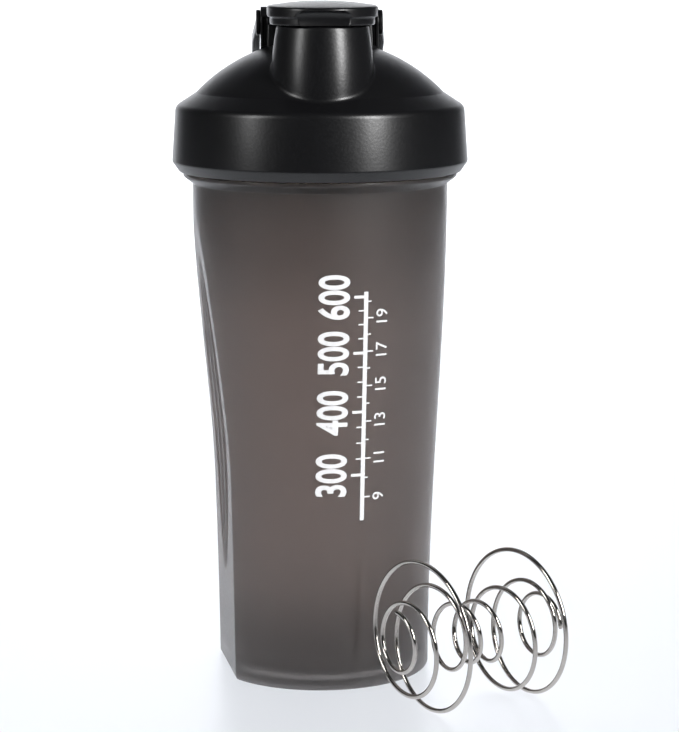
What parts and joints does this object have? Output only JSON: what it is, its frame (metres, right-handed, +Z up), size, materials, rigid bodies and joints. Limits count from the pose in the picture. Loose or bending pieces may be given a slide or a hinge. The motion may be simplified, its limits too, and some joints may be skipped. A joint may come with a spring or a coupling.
{
  "type": "protein shaker bottle",
  "caption": "Smoke-tinted shaker cup with side grips, a black screw lid with a drinking spout, a flip cap and a carry loop, and a loose steel wire whisk beside it.",
  "frame": {"origin": "middle of the cup's foot, on the plane the cup stands on", "axes": "+Z up along the cup's axis, -Y towards the drinking spout, +X to the right seen from the spout's side"},
  "size_m": [0.1325, 0.1353, 0.2342],
  "materials": {
    "smoke_plastic": "satin, smoke-tinted and translucent",
    "black_plastic": "satin with a fine moulded grain",
    "silicone": "soft matt",
    "steel_wire": "bright drawn wire",
    "white_ink": "printed ink"
  },
  "bodies": {
    "cup": {"cup": "smoke_plastic"},
    "lid_seal": {"lid_gasket": "silicone"},
    "lid": {"lid": "black_plastic"},
    "flip_cap": {"flip_cap": "black_plastic", "spout_seal": "silicone"},
    "carry_loop": {"carry_loop": "black_plastic"},
    "whisk": {"whisk": "steel_wire"}
  },
  "joints": [
    {"name": "lid_rise", "type": "slide", "parent": "cup", "child": "lid_seal", "axis": [0, 0, 1], "range_m": [0, 0.01001]},
    {"name": "lid_turn", "type": "hinge", "parent": "lid_seal", "child": "lid", "pos_m": [0, 0, 0.1971], "axis": [0, 0, 1], "range_deg": [0, 450]},
    {"name": "flip_cap_hinge", "type": "hinge", "parent": "lid", "child": "flip_cap", "pos_m": [0, 0.006, 0.2266], "axis": [-1, 0, 0], "range_deg": [0, 155]},
    {"name": "carry_loop_hinge", "type": "hinge", "parent": "lid", "child": "carry_loop", "pos_m": [0, 0.006, 0.2266], "axis": [1, 0, 0], "range_deg": [0, 115]},
    {"name": "whisk_lift", "type": "slide", "parent": "cup", "child": "whisk", "axis": [0, 0, 1], "range_m": [0, 0.11]}
  ],
  "couplings": [
    {"joint": "lid_rise", "follows": "lid_turn", "m_per_rad": 0.0012732}
  ]
}
